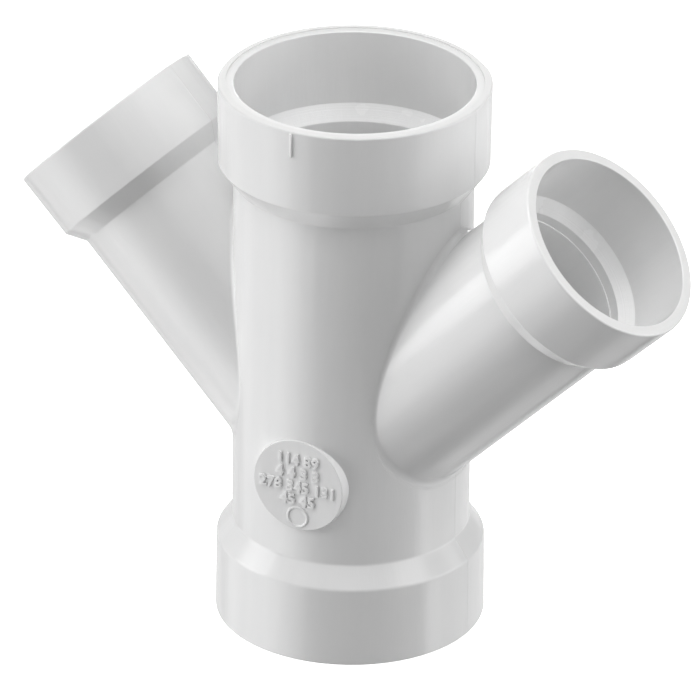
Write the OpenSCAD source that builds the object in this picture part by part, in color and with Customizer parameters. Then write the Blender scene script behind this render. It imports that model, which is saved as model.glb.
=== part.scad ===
// Double wye drain fitting, reducing: a straight run with a pipe socket at each end,
// and two smaller 45 degree branches, left and right, in one plane with the run.
// One moulded piece. Millimetres, +Z up. The origin is the centre of the bottom rim,
// the run stands on +Z, and the branches rise toward +X and -X.

/* [Run] */
// Overall height of the run, rim to rim
run_len = 278; // [270:1:320]
// Inside diameter of the two run sockets
run_socket_d = 114.5; // [114.0:0.1:115.2]
// Depth of each run socket, from the rim to its ledge
run_socket_depth = 38; // [32:1:42]
// Bore of the run between its ledges
run_bore_d = 101.6; // [98:0.2:104]
// Outside diameter of the run between its hubs
run_od = 114.4; // [111:0.2:115]
// Outside diameter of each run hub at the rim
run_hub_od = 130; // [128:0.5:134]
// Length of each run hub, from the rim to its shoulder
run_hub_len = 40; // [36:1:44]
// Length of each shoulder of the run, along the axis
run_shoulder = 10; // [8:0.5:14]

/* [Branches] */
// Angle between each branch and the run
branch_angle = 45; // [44:0.5:47]
// Height at which the branch axes meet the run's axis
branch_z = 90; // [86:1:94]
// Distance from that point to each branch rim
branch_len = 194; // [190:1:210]
// Inside diameter of the branch sockets
branch_socket_d = 89.0; // [88.6:0.1:89.6]
// Depth of each branch socket
branch_socket_depth = 35; // [28:1:38]
// Bore of the branches
branch_bore_d = 77.8; // [75:0.2:79]
// Outside diameter of each branch between hub and run
branch_od = 87.0; // [85:0.2:90]
// Outside diameter of each branch hub at the rim
branch_hub_od = 100; // [99:0.5:104]
// Length of each branch hub, from the rim to its shoulder
branch_hub_len = 33.5; // [30:0.5:36]
// Length of each branch shoulder, along the axis
branch_shoulder = 8.8; // [7:0.2:12]

/* [Label pad] */
// Diameter of the round pad's flat face on the front of the run
pad_d = 47; // [30:1:50]
// Height of the pad's centre above the bottom rim
pad_z = 90; // [84:1:110]
// How far the flat face stands off the run at its centre
pad_rise = 0.8; // [0.8:0.1:3]
// How far the pad is turned from the front toward the right branch, degrees
pad_turn = 3.4; // [0:0.2:6]

/* [Moulding details] */
// Width of the alignment rib on the front of the top hub
rib_w = 1.5; // [1:0.1:3]
// Length of the alignment rib
rib_len = 12; // [6:1:25]
// How far the rib stands off the hub
rib_rise = 1.0; // [0.4:0.1:1.6]
// How far the rib is turned from the front toward the right branch, degrees
rib_turn = 2; // [0:0.2:6]
// Width of the parting line ridge
seam_w = 1.2; // [0.8:0.1:2]
// Height of the parting line ridge
seam_h = 0.25; // [0.15:0.05:0.4]
// Depth of the step round the inner half of each run rim
rim_step = 0.7; // [0.3:0.05:0.8]
// Radius of the outer edge of every rim
rim_round = 1.0; // [0.6:0.1:1.4]
// Radius of the inner edge of every socket
lead_in = 0.6; // [0.4:0.1:1]
// Width of the cut round the rear of the top rim's outer edge
trim = 1.4; // [1:0.1:3]

/* [Hidden] */
$fn = 96;
pvc = [0.93, 0.93, 0.92];
hub_draft = 0.4;      // the hubs taper this much in radius toward their shoulders
ledge_run = 7;        // axial length of the conical ledge under a run socket
ledge_branch = 6;     // and under a branch socket
bore_lip_len = 5;     // length of the wider bore just under a branch ledge
bore_lip = 0.5;       // and how much wider it is, in radius
trim_from = 44;       // azimuths, from +X, where the cut round the rear of the top rim starts
trim_to = 200;        // and ends

// ---- plane profiles with true arcs ----

function unit(v) = v / norm(v);
function turn(a, b, c) = (b[0] - a[0]) * (c[1] - b[1]) - (b[1] - a[1]) * (c[0] - b[0]);
function half_angle(a, b, c) = acos(unit(a - b) * unit(c - b)) / 2;
function touch(a, b, c, r) = r / tan(half_angle(a, b, c));
function arc_centre(a, b, c, r) = b + unit(unit(a - b) + unit(c - b)) * r / sin(half_angle(a, b, c));

// A polygon, counter-clockwise, whose corner i is rounded to radius rads[i] (0 leaves it sharp).
module rounded(pts, rads) {
    n = len(pts);
    ring = [for (i = [0:n - 1])
        let (a = pts[(i + n - 1) % n], b = pts[i], c = pts[(i + 1) % n], r = rads[i])
        each r == 0 ? [b] : [
            b + unit(a - b) * touch(a, b, c, r),
            b + unit(c - b) * touch(a, b, c, r)
        ]];
    difference() {
        union() {
            polygon(ring);
            for (i = [0:n - 1])
                if (rads[i] > 0 && turn(pts[(i + n - 1) % n], pts[i], pts[(i + 1) % n]) > 0)
                    translate(arc_centre(pts[(i + n - 1) % n], pts[i], pts[(i + 1) % n], rads[i])) circle(r = rads[i]);
        }
        for (i = [0:n - 1])
            if (rads[i] > 0 && turn(pts[(i + n - 1) % n], pts[i], pts[(i + 1) % n]) < 0)
                translate(arc_centre(pts[(i + n - 1) % n], pts[i], pts[(i + 1) % n], rads[i])) circle(r = rads[i]);
    }
}

// ---- outside of the run and of a branch, as half profiles (radius, height) ----

module run_outside(grow = 0) {
    t = run_od / 2 + grow;
    h = run_hub_od / 2 + grow;
    z1 = run_hub_len;
    z2 = run_hub_len + run_shoulder;
    rounded(
        [[0, 0], [h, 0], [h - hub_draft, z1], [t, z2],
         [t, run_len - z2], [h - hub_draft, run_len - z1], [h, run_len], [0, run_len]],
        [0, rim_round, 3, 2.5, 1.5, 1.5, rim_round, 0]);
}

module branch_outside(grow = 0) {
    t = branch_od / 2 + grow;
    h = branch_hub_od / 2 + grow;
    z1 = branch_len - branch_hub_len;
    z2 = z1 - branch_shoulder;
    rounded(
        [[0, 0], [t, 0], [t, z2], [h - hub_draft, z1], [h, branch_len], [0, branch_len]],
        [0, 0, 1.5, 1.6, rim_round, 0]);
}

// ---- hollow of the run and of a branch ----

module run_hollow() {
    b = run_bore_d / 2;
    s = run_socket_d / 2;
    z1 = run_socket_depth;
    z2 = z1 + ledge_run;
    rounded(
        [[0, -1], [s, -1], [s, z1], [b, z2],
         [b, run_len - z2], [s, run_len - z1], [s, run_len + 1], [0, run_len + 1]],
        [0, 0, 0.8, 1, 1, 0.8, 0, 0]);
    // the inner half of each rim is a little lower, and each socket's edge is rounded
    for (end = [0, 1])
        translate([0, end * run_len]) mirror([0, end]) {
            translate([s - 1, -1]) square([(run_hub_od / 2 - s) / 2 + 1, 1 + rim_step]);
            translate([s - 1, 0]) edge_round(rim_step);
        }
}

// The round of a socket's edge, for a wall 1 mm from the left and a rim face at height h.
module edge_round(h) {
    difference() {
        translate([0, h - 0.3]) square([1 + lead_in, lead_in + 0.3]);
        translate([1 + lead_in, h + lead_in]) circle(r = lead_in);
    }
}

module branch_hollow() {
    b = branch_bore_d / 2;
    s = branch_socket_d / 2;
    z1 = branch_len - branch_socket_depth;
    z2 = z1 - ledge_branch;
    rounded(
        [[0, 0], [b - bore_lip, 0], [b - bore_lip, z2 - bore_lip_len], [b, z2 - bore_lip_len],
         [b, z2], [s, z1], [s, branch_len + 1], [0, branch_len + 1]],
        [0, 0, 0, 0, 0.8, 0.8, 0, 0]);
    translate([s - 1, branch_len]) mirror([0, 1]) edge_round(0);
}

// ---- solids ----

// Puts a branch, drawn along +Z, on its own axis: side 1 is right (+X), side -1 is left (-X).
module on_branch(side) {
    translate([0, 0, branch_z]) rotate([0, side * branch_angle, 0]) children();
}

// A thin ridge that stands up on the parting plane, the plane of the three axes.
module parting_ridge(side) {
    rotate([90, 0, 0]) linear_extrude(height = seam_w, center = true)
        mirror([side < 0 ? 1 : 0, 0, 0]) children();
}

module label_pad() {
    face = run_od / 2 + pad_rise;
    rotate([0, 0, pad_turn]) translate([0, 0, pad_z]) rotate([90, 0, 0]) rotate_extrude()
        rounded([[0, run_od / 2 - 12], [pad_d / 2 + 0.9, run_od / 2 - 12], [pad_d / 2, face], [0, face]],
                [0, 0, 0.5, 0]);
}

module alignment_rib() {
    h = run_hub_od / 2;
    rotate([0, 0, rib_turn])
        translate([-rib_w / 2, -h - rib_rise, run_len - rim_round - rib_len]) cube([rib_w, 3, rib_len]);
}

// The outer edge of the top rim is cut back round its rear, and the cut starts with a small step.
module rim_trim() {
    h = run_hub_od / 2;
    rotate([0, 0, trim_from]) rotate_extrude(angle = trim_to - trim_from)
        polygon([[h - trim, run_len + 0.5], [h - trim, run_len], [h + 0.5, run_len - trim - 0.5], [h + 0.5, run_len + 0.5]]);
}

module double_wye() {
    color(pvc) difference() {
        union() {
            rotate_extrude() run_outside();
            for (side = [-1, 1]) {
                on_branch(side) rotate_extrude() branch_outside();
                parting_ridge(side) run_outside(seam_h);
                on_branch(side) {
                    parting_ridge(1) branch_outside(seam_h);
                    parting_ridge(-1) branch_outside(seam_h);
                }
            }
            label_pad();
            alignment_rib();
        }
        rotate_extrude() run_hollow();
        for (side = [-1, 1]) on_branch(side) rotate_extrude() branch_hollow();
        rim_trim();
    }
}

double_wye();
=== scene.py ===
import math

import bpy
import numpy as np
from mathutils import Matrix, Vector


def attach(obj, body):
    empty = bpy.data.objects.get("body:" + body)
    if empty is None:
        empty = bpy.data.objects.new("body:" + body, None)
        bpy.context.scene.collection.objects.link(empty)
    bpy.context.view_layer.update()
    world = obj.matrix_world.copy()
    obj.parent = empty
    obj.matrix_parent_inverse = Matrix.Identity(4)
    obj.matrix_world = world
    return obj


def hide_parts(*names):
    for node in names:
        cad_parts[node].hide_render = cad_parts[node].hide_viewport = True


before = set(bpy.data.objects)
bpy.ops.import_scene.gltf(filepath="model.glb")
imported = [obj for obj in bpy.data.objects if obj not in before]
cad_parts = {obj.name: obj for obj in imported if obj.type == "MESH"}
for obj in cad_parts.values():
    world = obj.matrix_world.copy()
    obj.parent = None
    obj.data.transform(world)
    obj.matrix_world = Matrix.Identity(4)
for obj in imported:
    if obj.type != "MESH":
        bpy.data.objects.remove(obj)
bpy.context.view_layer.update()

# ---------------------------------------------------------------- dimensions, mm
RUN_L, RUN_R, RUN_BORE = 278.0, 57.2, 50.8
RUN_SOCK, RUN_DEPTH, RUN_HUB, RUN_HUB_L, RUN_SH = 57.25, 38.0, 65.0, 40.0, 10.0
BR_Z, BR_L, BR_R, BR_BORE = 90.0, 194.0, 43.5, 38.9
BR_SOCK, BR_DEPTH, BR_HUB, BR_HUB_L, BR_SH = 44.5, 35.0, 50.0, 33.5, 8.8
BETA = math.radians(45)
DRAFT, LEDGE_RUN, LEDGE_BR, LIP_L, LIP = 0.4, 7.0, 6.0, 5.0, 0.5
RIM_STEP, RIM_ROUND, LEAD, TRIM = 0.7, 1.0, 0.6, 1.4
STEP_R = RUN_SOCK + (RUN_HUB - RUN_SOCK) / 2
PAD_R, PAD_Z, PAD_RISE, PAD_TURN, RIB_TURN = 23.5, 90.0, 0.8, math.radians(3.4), math.radians(2.0)
SEAM_H, SEAM_W = 0.2, 0.6


# ---------------------------------------------------------------- mesh gathering
class Patches:
    """Gathers surface patches that carry exact normals, then welds them into one mesh."""

    def __init__(self):
        self.v, self.n, self.f, self.count = [], [], [], 0
        self.side, self.sides = 0, []
        self.outside, self.outsides = False, []

    def add(self, P, N, faces):
        P = np.asarray(P, float).reshape(-1, 3)
        N = np.asarray(N, float).reshape(-1, 3)
        N = N / np.maximum(np.linalg.norm(N, axis=1, keepdims=True), 1e-12)
        self.v.append(P)
        self.n.append(N)
        self.sides.append(self.side)
        self.outsides.append(self.outside)
        self.f += [tuple(i + self.count for i in face) for face in faces]
        self.count += len(P)

    def grid(self, P, N, skip=()):
        """P and N are (rows, columns, 3). skip names the rows after which the surface breaks."""
        rows, cols = P.shape[:2]
        faces = []
        for i in range(rows - 1):
            if i in skip:
                continue
            for j in range(cols - 1):
                a = i * cols + j
                faces.append((a, a + 1, a + cols + 1, a + cols))
        self.add(P, N, faces)

    def zipper(self, A, B, normal, centre, ex, ey):
        """Joins two closed rings that lie in one plane and are sampled at different angles."""
        def angles(ring):
            d = ring - centre
            t = np.arctan2(d @ ey, d @ ex) % (2 * np.pi)
            order = np.argsort(t, kind="stable")
            return t[order], ring[order]
        ta, A = angles(A)
        tb, B = angles(B)
        keep = np.r_[True, np.diff(ta) > 1e-9]
        ta, A = ta[keep], A[keep]
        keep = np.r_[True, np.diff(tb) > 1e-9]
        tb, B = tb[keep], B[keep]
        na, nb = len(A), len(B)
        faces, i, j = [], 0, 0
        while i < na or j < nb:
            next_a = ta[i + 1] if i + 1 < na else ta[0] + 2 * np.pi if i < na else 1e9
            next_b = tb[j + 1] if j + 1 < nb else tb[0] + 2 * np.pi if j < nb else 1e9
            if next_a <= next_b:
                faces.append((i % na, (i + 1) % na, na + j % nb))
                i += 1
            else:
                faces.append((i % na, na + (j + 1) % nb, na + j % nb))
                j += 1
        P = np.vstack([A, B])
        self.add(P, np.repeat(np.asarray(normal, float)[None], len(P), 0), faces)

    def build(self, name):
        V, N = np.vstack(self.v), np.vstack(self.n)
        key = np.round(V * 2e4).astype(np.int64)
        _, first, inverse = np.unique(key, axis=0, return_index=True, return_inverse=True)
        inverse = inverse.reshape(-1)
        pts = V[first] * 0.001
        faces, normals = [], []
        for face in self.f:
            ids = [int(inverse[i]) for i in face]
            keep = [k for k in range(len(ids)) if ids[k] != ids[k - 1]]
            if len(set(ids[k] for k in keep)) < 3 or len(keep) < 3:
                continue
            src = [face[k] for k in keep]
            ids = [ids[k] for k in keep]
            if len(set(ids)) != len(ids):
                continue
            q = V[src]
            g = np.cross(q[1] - q[0], q[2] - q[0]) if len(src) == 3 else np.cross(q[2] - q[0], q[3] - q[1])
            if g @ N[src].sum(0) < 0:
                src, ids = src[::-1], ids[::-1]
            faces.append(ids)
            normals += [N[i] for i in src]
        me = bpy.data.meshes.new(name)
        me.from_pydata(pts.tolist(), [], faces)
        me.update()
        for p in me.polygons:
            p.use_smooth = True
        me.normals_split_custom_set([tuple(n) for n in normals])
        # for the material: the place round and along the wall's own axis, where the turned faces are, and the rim
        # faces that get painted shade and more roughness
        swirl, turned = [], []
        for P, side in zip(self.v, self.sides):
            if side:
                u, up = branch_frame(side)
                rel = P - OB
                along = rel @ u
                a, b = rel @ up, rel[:, 1]
                rho = np.hypot(a, b)
                mark = (rho > BR_BORE - 0.2) & (rho < BR_SOCK - 0.1) & (along > 152.9) & (along < 159.1)
                face = (along > BR_L - 0.02) & (rho > BR_SOCK + 0.5)
                # painted shade on the branch's rim face, which is also duller
                rim_shade_and_dull = face * 0.8
            else:
                along, a, b = P[:, 2], P[:, 0], P[:, 1]
                rho = np.hypot(a, b)
                mark = (rho > RUN_BORE + 0.1) & (rho < RUN_SOCK - 0.1) & ((along < 46) | (along > RUN_L - 46))
                face = ((along > RUN_L - RIM_STEP - 0.05) | (along < RIM_STEP + 0.05)) & (rho > RUN_SOCK + 0.5)
                # painted shade on the run's rim faces, full on the outer band and less on the inner band
                rim_shade_and_dull = face * np.where(rho > STEP_R - 0.1, 1.0, 0.6)
            r = np.maximum(rho, 1e-9)
            swirl.append(np.stack([a / r, b / r, along / 400 + 3 * side], 1))
            turned.append(np.stack([mark * 1.0 + face * 0.12, rho, rim_shade_and_dull], 1))
        for label, rows in (("swirl", swirl), ("turned", turned)):
            layer = me.attributes.new(label, "FLOAT_VECTOR", "POINT")
            layer.data.foreach_set("vector", np.vstack(rows)[first].astype(np.float32).ravel())
        ob = bpy.data.objects.new(name, me)
        bpy.context.scene.collection.objects.link(ob)
        return ob


def path(pts, rads, seg=7):
    """An open profile (radius, height) with rounded corners. Gives points, normals and the rows where it breaks.
    The material lies on the left of the path, and the normal points right."""
    pts = [np.array(p, float) for p in pts]
    P, N, breaks = [], [], []

    def normal(a, b):
        d = (b - a) / np.linalg.norm(b - a)
        return np.array([d[1], -d[0]])

    n = len(pts)
    P.append(pts[0])
    N.append(normal(pts[0], pts[1]))
    for i in range(1, n - 1):
        a, b, c = pts[i - 1], pts[i], pts[i + 1]
        n1, n2 = normal(a, b), normal(b, c)
        r = rads[i]
        if r == 0:
            P += [b, b]
            N += [n1, n2]
            breaks.append(len(P) - 2)
            continue
        u1, u2 = (a - b) / np.linalg.norm(a - b), (c - b) / np.linalg.norm(c - b)
        half = math.acos(max(-1, min(1, float(u1 @ u2)))) / 2
        C = b + (u1 + u2) / np.linalg.norm(u1 + u2) * r / math.sin(half)
        t1 = b + u1 * r / math.tan(half)
        sign = 1 if (t1 - C) @ n1 > 0 else -1
        turn = math.atan2(n1[0] * n2[1] - n1[1] * n2[0], float(n1 @ n2))
        for k in range(seg + 1):
            s = turn * k / seg
            nn = np.array([n1[0] * math.cos(s) - n1[1] * math.sin(s), n1[0] * math.sin(s) + n1[1] * math.cos(s)])
            P.append(C + sign * r * nn)
            N.append(nn)
    P.append(pts[-1])
    N.append(normal(pts[-2], pts[-1]))
    return np.array(P), np.array(N), breaks


def fine(prof, longest=9.0):
    """Splits the long straight stretches of a profile, so that no quad is far longer than wide."""
    P, N, breaks = prof
    Q, M, B = [], [], []
    for i in range(len(P)):
        Q.append(P[i])
        M.append(N[i])
        if i == len(P) - 1:
            break
        if i in breaks:
            B.append(len(Q) - 1)
            continue
        gap = np.linalg.norm(P[i + 1] - P[i])
        k = int(gap // longest)
        for s in range(1, k + 1):
            t = s / (k + 1)
            Q.append(P[i] * (1 - t) + P[i + 1] * t)
            M.append(N[i] * (1 - t) + N[i + 1] * t)
    return np.array(Q), np.array(M), B


def spin(prof, angles, o, ex, ey, ez):
    """Turns a profile round the axis ez through o, at the angles given (the last repeats the first)."""
    P, N, breaks = prof
    c, s = np.cos(angles), np.sin(angles)
    radial = c[:, None] * ex + s[:, None] * ey
    pos = o + P[:, None, 0:1] * radial[None] + P[:, None, 1:2] * ez
    nor = N[:, None, 0:1] * radial[None] + N[:, None, 1:2] * ez
    return pos, nor, breaks


X, Y, Z = np.eye(3)
O = np.zeros(3)
OB = np.array([0.0, 0.0, BR_Z])


def theta_set(extra):
    """Angles round a branch, 0 at its upper side, closer together at the parting plane."""
    t = list(np.radians(np.arange(0, 360, 3.0)))
    for y in (0.3, 0.6, 0.9, 1.4):
        a = y / 46.0
        t += [a, 2 * np.pi - a, np.pi - a, np.pi + a]
    t += list(extra)
    return np.array(sorted(set(np.round(t, 9))))


def junction(R, r, rho, theta, side):
    """Where a branch of radius r meets the run of radius R, rounded by a ball of radius rho(theta)."""
    q = rho(theta)
    x = np.sqrt((R + q) ** 2 - ((r + q) * np.sin(theta)) ** 2)
    y = (r + q) * np.sin(theta)
    d = (x + (r + q) * np.cos(theta) * math.cos(BETA)) / math.sin(BETA)
    z = BR_Z + d * math.cos(BETA) + (r + q) * np.cos(theta) * math.sin(BETA)
    return {"x": x * side, "y": y, "z": z, "d": d, "rho": q, "theta": theta, "az": np.arctan2(y, x)}


def branch_frame(side):
    u = np.array([side * math.sin(BETA), 0, math.cos(BETA)])
    up = np.array([-side * math.cos(BETA), 0, math.sin(BETA)])
    return u, up


def outer_rho(t):
    """Small at the sides and the upper crotch, large below the sides, small again at the parting line."""
    a = np.degrees(np.abs((t + np.pi) % (2 * np.pi) - np.pi))
    s = np.clip((a - 90) / 30, 0, 1)
    e = np.clip((a - 146) / 34, 0, 1)
    return 2.3 + 6.2 * s * s * (3 - 2 * s) - 5.2 * e * e * (3 - 2 * e)


def inner_rho(t):
    return np.full_like(t, 0.8)


def skin(patches, R, r, rho, theta, side, d_end, outside, seg=8):
    """The rounded crease round one branch, and the branch's own wall from it up to d_end."""
    patches.side, patches.outside = side, outside
    j = junction(R, r, rho, theta, side)
    u, up = branch_frame(side)
    t = np.r_[theta, theta[:1] + 2 * np.pi]
    k = np.r_[np.arange(len(theta)), 0]
    n_br = np.cos(t)[:, None] * up + np.sin(t)[:, None] * Y
    C = np.stack([j["x"], j["y"], j["z"]], 1)[k]
    n_run = C * [1, 1, 0]
    n_run = n_run / np.linalg.norm(n_run, axis=1, keepdims=True)
    w = np.arccos(np.clip((n_run * n_br).sum(1), -1, 1))[:, None]
    rows, norms = [], []
    for i in range(seg + 1):
        s = i / seg
        v = (np.sin((1 - s) * w) * n_run + np.sin(s * w) * n_br) / np.sin(w)
        v = v / np.linalg.norm(v, axis=1, keepdims=True)
        rows.append(C - j["rho"][k][:, None] * v)
        norms.append(v if outside else -v)
    patches.grid(np.array(rows), np.array(norms))
    d0 = j["d"][k]
    rows, norms = [], []
    for i in range(17):
        s = i / 16
        d = d0 * (1 - s) + d_end * s
        rows.append(OB + d[:, None] * u + r * n_br)
        norms.append(n_br if outside else -n_br)
    patches.grid(np.array(rows), np.array(norms))
    return j


def run_wall(patches, R, j, z_low, z_high, outside, gap_step=2.0):
    """The run's wall between two levels, with a hole at +X and -X cut to the creases. j is the crease at +X.
    Gives the azimuths used at the bottom and at the top."""
    patches.side, patches.outside = 0, outside
    th, az, z = j["theta"], j["az"], j["z"]
    top = (th <= np.pi / 2 + 1e-9) | (th >= 1.5 * np.pi - 1e-9)
    low = (th >= np.pi / 2 - 1e-9) & (th <= 1.5 * np.pi + 1e-9)
    zm = float(z[np.argmin(np.abs(th - np.pi / 2))])

    def columns(mask):
        a, zz = az[mask], z[mask]
        order = np.argsort(a, kind="stable")
        a, zz = a[order], zz[order]
        am = a[-1]
        n = int(round(math.degrees(np.pi - 2 * am) / gap_step))
        mid = np.linspace(am, np.pi - am, n + 1)[1:-1]
        A = np.r_[a, mid, (np.pi - a)[::-1], mid + np.pi, a[:1] + 2 * np.pi]
        ZZ = np.r_[zz, np.full(len(mid), zm), zz[::-1], np.full(len(mid), zm), zz[:1]]
        return A, ZZ

    out = []
    for mask, z_end, rows in ((low, z_low, 15), (top, z_high, 22)):
        A, ZZ = columns(mask)
        n = np.stack([np.cos(A), np.sin(A), 0 * A], 1)
        P, N = [], []
        for i in range(rows + 1):
            s = i / rows
            zz = z_end * (1 - s) + ZZ * s
            P.append(R * n + zz[:, None] * Z)
            N.append(n if outside else -n)
        patches.grid(np.array(P), np.array(N))
        out.append(A)
    return out


def seam(P, N, side):
    """A thin raised line where the two mould halves meet, on the plane y = 0. It dies out at the rims."""
    u, out = (Z, P * [1, 1, 0]) if side == 0 else (branch_frame(side)[0], P - OB)
    along = P[:, 2] if side == 0 else out @ u
    out = out - (out @ u)[:, None] * u
    facing = (out * N).sum(1) / np.maximum(np.linalg.norm(out, axis=1), 1e-9)
    end = (along > RUN_L - 2) | (along < 2) if side == 0 else along > BR_L - 2
    w = np.where(end, np.clip((facing - 0.35) / 0.5, 0, 1), 1.0)
    if side == 0:
        w = np.where(end & (np.hypot(P[:, 0], P[:, 1]) < RUN_HUB - 0.8), 0, w)
    y = P[:, 1]
    s = np.clip(1 - np.abs(y) / SEAM_W, 0, 1)
    h = w * SEAM_H * s * s * (3 - 2 * s)
    slope = -np.sign(y) * w * SEAM_H * 6 * s * (1 - s) / SEAM_W
    N2 = N - slope[:, None] * Y
    return P + h[:, None] * N, N2 / np.linalg.norm(N2, axis=1, keepdims=True)


# ---------------------------------------------------------------- the fitting's skin
def build_fitting():
    g = Patches()
    # finer steps where the cut round the rear of the top rim starts, 44 degrees behind the right branch
    extra = []
    for a in np.radians(np.arange(42.4, 45.7, 0.3)):
        extra.append(math.asin(min(0.9999, math.sin(a) * (RUN_R + 2.3) / (BR_R + 2.3))))
    theta = theta_set(extra)
    theta_in = np.radians(np.arange(0, 360, 3.0))
    low_start = RUN_HUB_L + RUN_SH + 6
    high_start = RUN_L - low_start
    d_end = 141.0

    # outside, crease and branch walls
    j = skin(g, RUN_R, BR_R, outer_rho, theta, 1, d_end, True)
    skin(g, RUN_R, BR_R, outer_rho, theta, -1, d_end, True)
    az_low, az_top = run_wall(g, RUN_R, j, low_start, high_start, True)
    # inside
    ji = skin(g, RUN_BORE, BR_BORE - LIP, inner_rho, theta_in, 1, d_end, False, 3)
    skin(g, RUN_BORE, BR_BORE - LIP, inner_rho, theta_in, -1, d_end, False, 3)
    in_low, in_top = run_wall(g, RUN_BORE, ji, low_start, high_start, False, 3.0)

    # run ends
    z1, z2 = RUN_HUB_L, RUN_HUB_L + RUN_SH
    L = RUN_L
    top_out = fine(path(
        [(RUN_R, high_start), (RUN_R, L - z2), (RUN_HUB - DRAFT, L - z1), (RUN_HUB, L - TRIM - 0.2), (RUN_HUB, L),
         (RUN_HUB - TRIM - 0.1, L), (STEP_R, L), (STEP_R, L - RIM_STEP)],
        [0, 1.5, 1.5, 0, RIM_ROUND, 0, 0.12, 0]))
    low_out = fine(path(
        [(STEP_R, RIM_STEP), (STEP_R, 0), (RUN_HUB, 0), (RUN_HUB - DRAFT, z1), (RUN_R, z2), (RUN_R, low_start)],
        [0, 0.12, RIM_ROUND, 3.0, 2.5, 0]))
    s1, s2 = RUN_DEPTH, RUN_DEPTH + LEDGE_RUN
    top_in = fine(path(
        [(RUN_SOCK + 2, L - RIM_STEP), (RUN_SOCK, L - RIM_STEP), (RUN_SOCK, L - s1), (RUN_BORE, L - s2), (RUN_BORE, high_start)],
        [0, LEAD, 0.8, 1.0, 0]))
    low_in = fine(path(
        [(RUN_BORE, low_start), (RUN_BORE, s2), (RUN_SOCK, s1), (RUN_SOCK, RIM_STEP), (RUN_SOCK + 2, RIM_STEP)],
        [0, 1.0, 0.8, LEAD, 0]))
    rings = {}
    for name, prof, az in (("to", top_out, az_top), ("lo", low_out, az_low), ("ti", top_in, in_top), ("li", low_in, in_low)):
        P, N, br = spin(prof, az, O, X, Y, Z)
        if name == "to":
            # the outer edge is cut back at 45 degrees from azimuth 44 round the rear, and the cut runs out on the left
            a = np.degrees(np.arctan2(P[..., 1], P[..., 0])) % 360
            near = np.clip((a - 43.8) / 0.3, 0, 1) * np.clip((206 - a) / 14, 0, 1)
            radial = np.stack([np.cos(np.radians(a)), np.sin(np.radians(a)), 0 * a], -1)
            r, z = np.hypot(P[..., 0], P[..., 1]), P[..., 2]
            over = near * np.clip(r - (RUN_HUB - TRIM) + z - L, 0, None)
            P = P - 0.5 * over[..., None] * (radial + Z)
            bevel = near * np.clip(over / 0.1, 0, 1)
            at_wall = np.where((np.abs(prof[0] - [RUN_HUB, L - TRIM - 0.2]) < 1e-6).all(1))[0]
            at_face = np.where((np.abs(prof[0] - [RUN_HUB - TRIM - 0.1, L]) < 1e-6).all(1))[0]
            bevel[at_wall[-1]], bevel[at_face[0]] = near[at_wall[-1]], near[at_face[0]]
            N = N * (1 - bevel[..., None]) + bevel[..., None] * (radial + Z) / math.sqrt(2)
            N = N / np.linalg.norm(N, axis=-1, keepdims=True)
        g.outside = name in ("to", "lo")
        g.grid(P, N, br)
        rings[name] = P
    g.outside = False
    g.zipper(rings["to"][-1], rings["ti"][0], Z, O + L * Z, X, Y)
    g.zipper(rings["lo"][0], rings["li"][-1], -Z, O, X, Y)

    # branch ends
    b1, b2 = BR_L - BR_HUB_L, BR_L - BR_HUB_L - BR_SH
    k1, k2 = BR_L - BR_DEPTH, BR_L - BR_DEPTH - LEDGE_BR
    out = fine(path(
        [(BR_R, d_end), (BR_R, b2), (BR_HUB - DRAFT, b1), (BR_HUB, BR_L), (BR_HUB - 2.2, BR_L)],
        [0, 1.5, 1.6, RIM_ROUND, 0]))
    inn = fine(path(
        [(BR_SOCK + 1.2, BR_L), (BR_SOCK, BR_L), (BR_SOCK, k1), (BR_BORE, k2), (BR_BORE, k2 - LIP_L),
         (BR_BORE - LIP, k2 - LIP_L), (BR_BORE - LIP, d_end)],
        [0, LEAD, 0.8, 0.8, 0.1, 0.15, 0]))
    for side in (1, -1):
        g.side = side
        u, up = branch_frame(side)
        P, N, br = spin(out, np.r_[theta, theta[:1] + 2 * np.pi], OB, up, Y, u)
        g.outside = True
        g.grid(P, N, br)
        g.outside = False
        Q, M, br = spin(inn, np.r_[theta_in, theta_in[:1] + 2 * np.pi], OB, up, Y, u)
        g.grid(Q, M, br)
        g.zipper(P[-1], Q[0], u, OB + BR_L * u, up, Y)

    # raise the parting line on the outside
    for i in range(len(g.v)):
        if g.outsides[i]:
            g.v[i], g.n[i] = seam(g.v[i], g.n[i], g.sides[i])
    return g


fitting = build_fitting().build("fitting")


def build_pad():
    """The round raised pad on the front of the run, with a flat face."""
    g = Patches()
    face = RUN_R + PAD_RISE
    prof = path([(PAD_R + 0.9, RUN_R - 12), (PAD_R, face), (0.0, face)], [0, 0.45, 0], 6)
    o = np.array([0, 0, PAD_Z])
    ang = np.linspace(0, 2 * np.pi, 145)
    P, N, br = spin(prof, ang, o, X, Z, -Y)
    g.grid(P, N, br)
    return g.build("label_pad")


pad = build_pad()


def ridge(name, z0, z1):
    """The small upright rib on the hub: its crest leans to the left, and its right side is steep."""
    import bmesh
    bm = bmesh.new()
    y = -RUN_HUB
    ring = [(-0.8, y + 1.5), (0.8, y + 1.5), (0.66, y - 0.9), (0.3, y - 0.95), (-0.62, y - 0.5)]
    rows = [[bm.verts.new(Vector((px, py, z)) * 0.001) for px, py in ring] for z in (z0, z1)]
    n = len(ring)
    for i in range(n):
        bm.faces.new((rows[0][i], rows[0][(i + 1) % n], rows[1][(i + 1) % n], rows[1][i]))
    bm.faces.new(rows[0][::-1])
    bm.faces.new(rows[1])
    bmesh.ops.recalc_face_normals(bm, faces=bm.faces[:])
    bmesh.ops.bevel(bm, geom=bm.edges[:], offset=0.0001, segments=2, profile=0.5, affect="EDGES")
    me = bpy.data.meshes.new(name)
    bm.to_mesh(me)
    bm.free()
    for p in me.polygons:
        p.use_smooth = True
    me.set_sharp_from_angle(angle=math.radians(50))
    ob = bpy.data.objects.new(name, me)
    bpy.context.scene.collection.objects.link(ob)
    return ob


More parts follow.
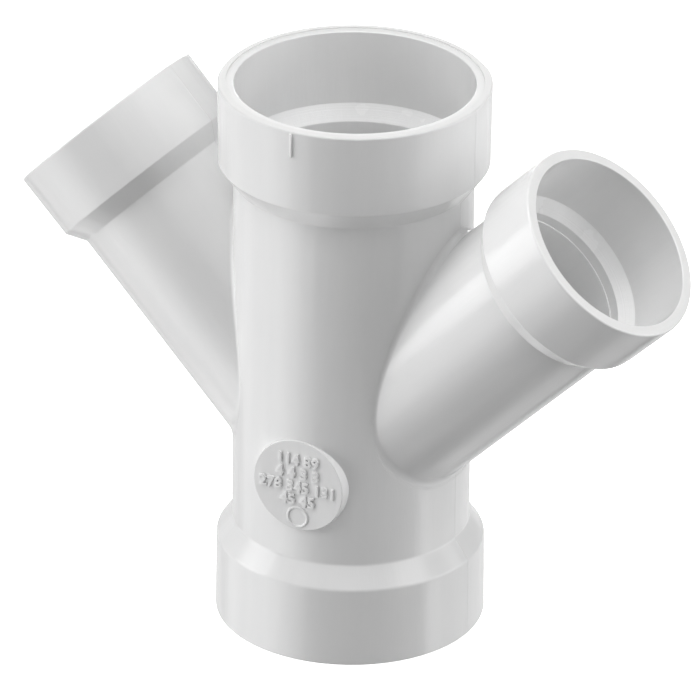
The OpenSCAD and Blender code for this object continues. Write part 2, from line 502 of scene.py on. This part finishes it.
def raised_numbers():
    """Plain raised numbers, the nominal sizes and the angle, and a plain ring under them."""
    import bmesh
    bm = bmesh.new()
    face = -(RUN_R + PAD_RISE)
    rows = [("114 89", 10.9), ("4 4 3 3", 3.9), ("278 345 131", -3.3), ("45 45", -10.3)]
    for i, (words, up) in enumerate(rows):
        cu = bpy.data.curves.new(f"row_{i}", "FONT")
        cu.body = words
        cu.align_x = "CENTER"
        cu.size = 7.7
        cu.space_character = 1.04
        cu.offset = 0.2
        cu.extrude = 0.8
        cu.bevel_depth = 0.1
        cu.bevel_resolution = 1
        cu.resolution_u = 6
        tmp = bpy.data.objects.new(f"row_{i}", cu)
        bpy.context.scene.collection.objects.link(tmp)
        dg = bpy.context.evaluated_depsgraph_get()
        me = bpy.data.meshes.new_from_object(tmp.evaluated_get(dg))
        # the text lies in its own XY plane: up becomes +Z, and out becomes -Y
        me.transform(Matrix.Translation((0, face, PAD_Z + up)) @ Matrix.Rotation(math.radians(90), 4, "X"))
        me.transform(Matrix.Scale(0.001, 4))
        bm.from_mesh(me)
        bpy.data.objects.remove(tmp)
        bpy.data.curves.remove(cu)
        bpy.data.meshes.remove(me)
    bmesh.ops.remove_doubles(bm, verts=bm.verts, dist=1e-6)
    # the ring
    centre, R1, tube = Vector((0, face, PAD_Z - 16.7)), 5.1, 0.6
    n, k = 64, 10
    ring = []
    for i in range(n):
        a = 2 * math.pi * i / n
        ring.append([bm.verts.new((centre + Vector((
            (R1 + tube * 1.3 * math.cos(b)) * math.cos(a), -tube * math.sin(b), (R1 + tube * 1.3 * math.cos(b)) * math.sin(a)))) * 0.001)
            for b in (2 * math.pi * j / k for j in range(k))])
    for i in range(n):
        for j in range(k):
            bm.faces.new((ring[i][j], ring[(i + 1) % n][j], ring[(i + 1) % n][(j + 1) % k], ring[i][(j + 1) % k]))
    bmesh.ops.recalc_face_normals(bm, faces=bm.faces[:])
    me = bpy.data.meshes.new("pad_numbers")
    bm.to_mesh(me)
    bm.free()
    for p in me.polygons:
        p.use_smooth = True
    me.set_sharp_from_angle(angle=math.radians(40))
    ob = bpy.data.objects.new("pad_numbers", me)
    bpy.context.scene.collection.objects.link(ob)
    return ob


numbers = raised_numbers()
rib = ridge("alignment_rib", RUN_L - RIM_ROUND - 12, RUN_L - RIM_ROUND - 0.1)
for ob, turn in ((pad, PAD_TURN), (numbers, PAD_TURN), (rib, RIB_TURN)):
    ob.data.transform(Matrix.Rotation(turn, 4, "Z"))
objects = [fitting, pad, rib, numbers]


# ---------------------------------------------------------------- material
def pvc_material():
    """White rigid PVC as moulded: satin, with faint flow lines along each wall and turning marks on the ledges."""
    m = bpy.data.materials.new("pvc_white")
    m.use_nodes = True
    nt = m.node_tree
    nt.nodes.clear()

    def node(kind, **values):
        n = nt.nodes.new("ShaderNode" + kind)
        for k, v in values.items():
            if k in n.inputs:
                n.inputs[k].default_value = v
            else:
                setattr(n, k, v)
        return n

    def link(a, b):
        nt.links.new(a, b)

    def maths(op, a, b=None):
        n = nt.nodes.new("ShaderNodeMath")
        n.operation = op
        for i, v in enumerate((a, b)):
            if v is None:
                continue
            if isinstance(v, (int, float)):
                n.inputs[i].default_value = v
            else:
                link(v, n.inputs[i])
        return n.outputs[0]

    out = node("OutputMaterial")
    b = node("BsdfPrincipled")
    link(b.outputs["BSDF"], out.inputs["Surface"])
    b.inputs["IOR"].default_value = 1.53
    co = node("TexCoord").outputs["Object"]
    swirl = node("Attribute", attribute_name="swirl").outputs["Vector"]
    turned = node("SeparateXYZ")
    link(node("Attribute", attribute_name="turned").outputs["Vector"], turned.inputs[0])
    marked, radius, rim_shade_and_dull = turned.outputs["X"], turned.outputs["Y"], turned.outputs["Z"]

    # tone: broad soft clouds, and faint streaks that run along each wall
    clouds = node("TexNoise", Scale=16.0, Detail=3.0)
    link(co, clouds.inputs["Vector"])
    flow = node("TexNoise", Scale=7.0, Detail=6.0, Roughness=0.62)
    link(swirl, flow.inputs["Vector"])
    mix = maths("ADD", maths("MULTIPLY", clouds.outputs["Fac"], 0.5), maths("MULTIPLY", flow.outputs["Fac"], 0.5))
    ramp = node("ValToRGB")
    ramp.color_ramp.elements[0].position = 0.34
    ramp.color_ramp.elements[0].color = (0.855, 0.857, 0.859, 1)
    ramp.color_ramp.elements[1].position = 0.66
    ramp.color_ramp.elements[1].color = (0.887, 0.887, 0.885, 1)
    link(mix, ramp.inputs["Fac"])
    # painted shade: the cut rims' colour is darkened, the outer band of the run's rims more than the inner band; they
    # are also duller than the moulded skin
    painted_rim_shade = node("Mix", data_type="RGBA", blend_type="MULTIPLY")
    link(rim_shade_and_dull, painted_rim_shade.inputs[0])
    link(ramp.outputs["Color"], painted_rim_shade.inputs[6])
    painted_rim_shade.inputs[7].default_value = (0.885, 0.885, 0.88, 1)
    link(painted_rim_shade.outputs[2], b.inputs["Base Color"])

    # gloss: a little uneven, rougher where a tool has turned the face
    fine = node("TexNoise", Scale=60.0, Detail=5.0)
    link(co, fine.inputs["Vector"])
    rough = maths("ADD", maths("MULTIPLY", fine.outputs["Fac"], 0.08), 0.145)
    rough = maths("ADD", rough, maths("MULTIPLY", rim_shade_and_dull, 0.3))
    link(maths("ADD", rough, maths("MULTIPLY", marked, 0.08)), b.inputs["Roughness"])

    # relief: turning marks, flow lines and a very fine skin
    rings = node("TexNoise", noise_dimensions="1D", Scale=2.2, Detail=4.0, Roughness=0.7)
    link(radius, rings.inputs["W"])
    skin = node("TexNoise", Scale=700.0, Detail=3.0)
    link(co, skin.inputs["Vector"])
    h = maths("MULTIPLY", maths("MULTIPLY", rings.outputs["Fac"], marked), 0.10)
    streaks = maths("MULTIPLY", maths("SUBTRACT", flow.outputs["Fac"], 0.5), maths("SUBTRACT", 1.0, rim_shade_and_dull))
    h = maths("ADD", h, maths("MULTIPLY", streaks, 0.16))
    h = maths("ADD", h, maths("MULTIPLY", skin.outputs["Fac"], 0.008))
    bump = node("Bump", Strength=1.0, Distance=0.001)
    link(h, bump.inputs["Height"])
    link(bump.outputs["Normal"], b.inputs["Normal"])
    return m


pvc = pvc_material()
for ob in objects:
    ob.data.materials.clear()
    ob.data.materials.append(pvc)
    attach(ob, "root")
    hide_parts("double_wye")

# ---------------------------------------------------------------- camera
PHI, EPS, ROLL = math.radians(29.13), math.radians(26.45), math.radians(0.6)
FOCAL_PX, DIST = 9009.0, 169.57 * 0.0254
AIM, AIM_PX = np.array([0, 0, 5.3 * 0.0254]), (352.3, 353.1)


def make_camera():
    d = np.array([math.sin(PHI) * math.cos(EPS), -math.cos(PHI) * math.cos(EPS), math.sin(EPS)])
    eye = AIM + DIST * d
    fw = -d
    r = np.cross(fw, Z)
    r /= np.linalg.norm(r)
    u = np.cross(r, fw)
    r, u = r * math.cos(ROLL) + u * math.sin(ROLL), -r * math.sin(ROLL) + u * math.cos(ROLL)
    w = np.array([(AIM_PX[0] - 350) / FOCAL_PX, -(AIM_PX[1] - 350) / FOCAL_PX, 1.0])
    w /= np.linalg.norm(w)
    pan, tilt = math.atan2(w[0], w[2]), math.asin(w[1])
    f1, u1 = fw * math.cos(tilt) - u * math.sin(tilt), u * math.cos(tilt) + fw * math.sin(tilt)
    f2, r2 = f1 * math.cos(pan) - r * math.sin(pan), r * math.cos(pan) + f1 * math.sin(pan)
    cam = bpy.data.cameras.new("camera")
    cam.sensor_width = 36.0
    cam.sensor_fit = "HORIZONTAL"
    cam.lens = FOCAL_PX / 700 * 36
    cam.clip_start, cam.clip_end = 0.1, 60
    ob = bpy.data.objects.new("camera", cam)
    m = Matrix.Identity(4)
    for i in range(3):
        m[i][0], m[i][1], m[i][2], m[i][3] = r2[i], u1[i], -f2[i], eye[i]
    ob.matrix_world = m
    bpy.context.scene.collection.objects.link(ob)
    bpy.context.scene.camera = ob
    return eye, r2, u1, f2


eye, cam_r, cam_u, cam_f = make_camera()


# ---------------------------------------------------------------- floor and light
def make_floor():
    """A plain white light table: it glows evenly, so it shows no shadow and throws no patches of light."""
    me = bpy.data.meshes.new("floor")
    s = 9.0
    me.from_pydata([(-s, -s, 0), (s, -s, 0), (s, s, 0), (-s, s, 0)], [], [(0, 1, 2, 3)])
    ob = bpy.data.objects.new("floor", me)
    ob.location.z = -0.0003
    bpy.context.scene.collection.objects.link(ob)
    m = bpy.data.materials.new("floor_white")
    m.use_nodes = True
    b = m.node_tree.nodes["Principled BSDF"]
    b.inputs["Base Color"].default_value = (0.9, 0.9, 0.9, 1)
    b.inputs["Roughness"].default_value = 0.9
    b.inputs["Specular IOR Level"].default_value = 0.1
    b.inputs["Emission Color"].default_value = (1, 1, 1, 1)
    b.inputs["Emission Strength"].default_value = 1.0
    me.materials.append(m)
    ob.visible_diffuse = False
    ob.visible_glossy = False
    ob.visible_shadow = False
    return ob


make_floor()

# Soft panels on a dome round the object: elevation, degrees round from the camera's side
# (to its right positive), watts, width and height.
PANELS = [
    (-62, -120, 8.40, 1.30, 1.56),
    (-62, -60, 7.94, 1.30, 1.56),
    (-62, 120, 3.60, 1.30, 1.56),
    (-62, 180, 4.00, 1.30, 1.56),
    (-26, -135, 0.41, 0.57, 1.47),
    (-26, -120, 1.98, 0.57, 1.47),
    (-26, -105, 1.96, 0.57, 1.47),
    (-26, -90, 3.55, 0.57, 1.47),
    (-26, -75, 5.96, 0.57, 1.47),
    (-26, -60, 5.51, 0.57, 1.47),
    (-26, -45, 2.70, 0.57, 1.47),
    (-26, 75, 4.88, 0.57, 1.47),
    (-26, 90, 2.34, 0.57, 1.47),
    (-26, 105, 1.99, 0.57, 1.47),
    (-26, 120, 1.80, 0.57, 1.47),
    (-26, 135, 2.20, 0.57, 1.47),
    (-26, 150, 2.20, 0.57, 1.47),
    (-26, 165, 2.20, 0.57, 1.47),
    (-26, 180, 2.20, 0.57, 1.47),
    (-26, -165, 1.80, 0.57, 1.47),
    (-26, -150, 1.40, 0.57, 1.47),
    (6, -180, 24.56, 1.28, 1.20),
    (6, -150, 2.41, 1.28, 1.20),
    (6, -90, 16.00, 1.28, 1.20),
    (6, -60, 2.30, 1.28, 1.20),
    (6, 60, 9.72, 1.28, 1.20),
    (6, 90, 10.35, 1.28, 1.20),
    (6, 150, 1.50, 1.28, 1.20),
    (33, -90, 9.84, 1.08, 1.11),
    (33, 0, 3.09, 1.08, 1.11),
    (33, 30, 3.34, 1.08, 1.11),
    (33, 60, 9.74, 1.08, 1.11),
    (59, -90, 5.65, 1.02, 1.11),
    (59, -45, 8.44, 1.02, 1.11),
    (59, 0, 2.46, 1.02, 1.11),
    (59, 45, 3.65, 1.02, 1.11),
    (59, 90, 6.74, 1.02, 1.11),
    (86, -180, 17.54, 1.20, 1.20),
]


def panel(i, elevation, round_deg, watts, wide, high, distance=2.4):
    e, a = math.radians(elevation), math.radians(round_deg)
    back = Vector((-cam_f[0], -cam_f[1], 0)).normalized()
    side = Vector((cam_r[0], cam_r[1], 0)).normalized()
    d = math.cos(e) * (math.cos(a) * back + math.sin(a) * side) + math.sin(e) * Vector((0, 0, 1))
    lamp = bpy.data.lights.new(f"panel_{i:02d}", "AREA")
    lamp.shape = "RECTANGLE"
    lamp.size, lamp.size_y = wide, high
    lamp.energy = watts
    ob = bpy.data.objects.new(f"panel_{i:02d}", lamp)
    ob.location = Vector((0, 0, 0.14)) + distance * d
    ob.rotation_euler = (-d).to_track_quat("-Z", "Y").to_euler()
    ob.visible_camera = False
    bpy.context.scene.collection.objects.link(ob)


for i, row in enumerate(PANELS):
    panel(i, *row)


def make_shade():
    """A grey disc on the floor right under the bottom socket: a sheet of painted shade where the fitting itself keeps
    the floor dark.
    """
    n, r = 64, 0.064
    me = bpy.data.meshes.new("floor_under")
    ring = [(r * math.cos(2 * math.pi * k / n), r * math.sin(2 * math.pi * k / n), 0) for k in range(n)]
    me.from_pydata(ring, [], [tuple(range(n))])
    ob = bpy.data.objects.new("floor_under", me)
    ob.location.z = -0.0002
    bpy.context.scene.collection.objects.link(ob)
    m = bpy.data.materials.new("floor_shade")
    m.use_nodes = True
    b = m.node_tree.nodes["Principled BSDF"]
    # grey, not glowing like the rest of the floor: painted shade
    b.inputs["Base Color"].default_value = (0.6, 0.6, 0.6, 1)
    b.inputs["Roughness"].default_value = 0.9
    me.materials.append(m)


make_shade()

world = bpy.data.worlds.new("studio")
bpy.context.scene.world = world
world.use_nodes = True
bg = world.node_tree.nodes["Background"]
bg.inputs["Color"].default_value = (1, 1, 1, 1)
bg.inputs["Strength"].default_value = 0.0

bpy.context.scene.view_settings.view_transform = "Standard"
bpy.context.scene.view_settings.look = "None"
